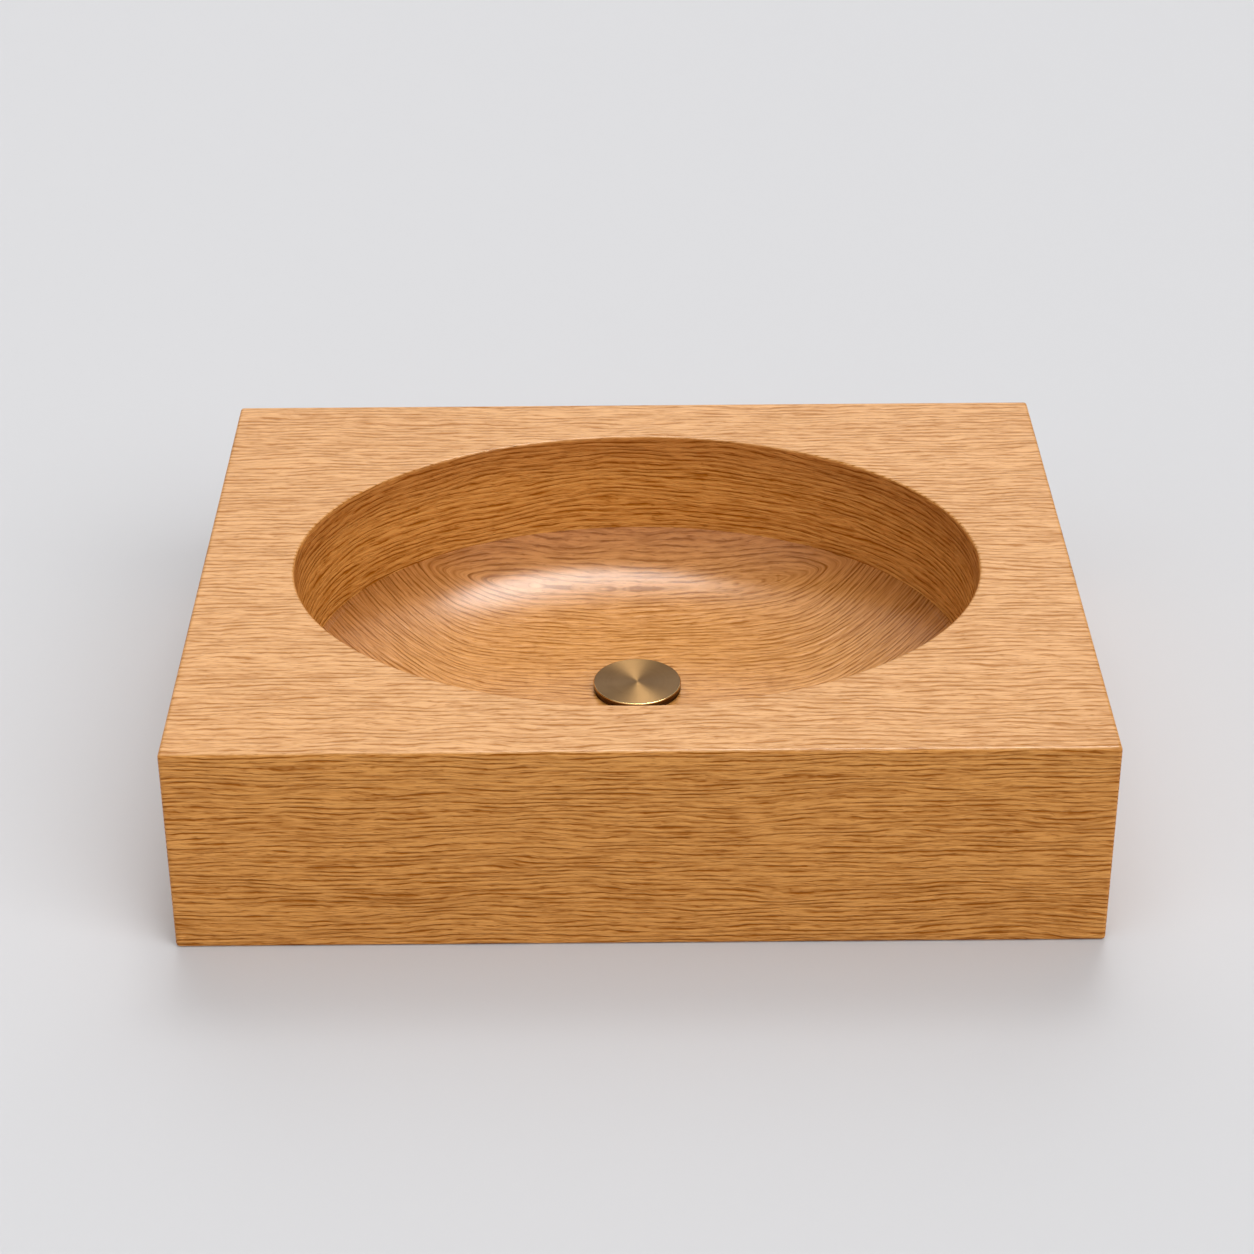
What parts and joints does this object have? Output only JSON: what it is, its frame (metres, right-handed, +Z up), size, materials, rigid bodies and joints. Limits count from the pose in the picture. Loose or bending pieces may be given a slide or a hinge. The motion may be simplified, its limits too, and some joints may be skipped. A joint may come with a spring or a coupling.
{
  "type": "countertop vessel basin",
  "caption": "Rectangular oak countertop basin with an oval bowl and a press-to-open waste that lifts a round metal cover.",
  "frame": {"origin": "centre of the base, on the surface that the basin stands on, straight under the drain", "axes": "+X along the width to the user's right, +Y to the back, +Z up out of the bowl"},
  "size_m": [0.55, 0.45, 0.135],
  "materials": {
    "oak_deck": "satin clear lacquer on light oak",
    "oak_case": "satin clear lacquer on oak, flat sawn",
    "oak_bowl": "satin clear lacquer on oak, grain round the bowl",
    "oak_inner": "sawn, sealed oak",
    "bronze": "circular brushed bronze plating",
    "brass": "machined brass",
    "rubber": "matt black rubber",
    "white_plastic": "moulded polypropylene",
    "steel": "zinc plated and spring steel"
  },
  "bodies": {
    "basin": {"deck_board": "oak_deck", "front_apron": "oak_case", "right_apron": "oak_case", "back_apron": "oak_case", "left_apron": "oak_case", "base_board": "oak_inner", "corner_block_1": "oak_inner", "corner_block_2": "oak_inner", "corner_block_3": "oak_inner", "corner_block_4": "oak_inner", "base_screw_1": "steel", "base_screw_2": "steel", "base_screw_3": "steel", "base_screw_4": "steel", "bowl_wall": "oak_bowl", "bowl_floor": "oak_bowl", "waste_body": "bronze", "flange_gasket": "rubber", "lower_gasket": "rubber", "slip_washer": "white_plastic", "back_nut": "brass", "cartridge_sleeve": "brass", "cartridge_plug": "brass", "return_spring": "steel"},
    "cap": {"drain_cap": "bronze", "cap_seal": "rubber", "plunger": "brass"},
    "rotor": {"ratchet_rotor": "white_plastic"}
  },
  "joints": [
    {"name": "cap_travel", "type": "slide", "parent": "basin", "child": "cap", "axis": [0, 0, 1], "range_m": [0, 0.009], "deforming": ["return_spring"]},
    {"name": "rotor_turn", "type": "hinge", "parent": "cap", "child": "rotor", "pos_m": [0, 0, 0.0148], "axis": [0, 0, 1], "continuous": true}
  ]
}
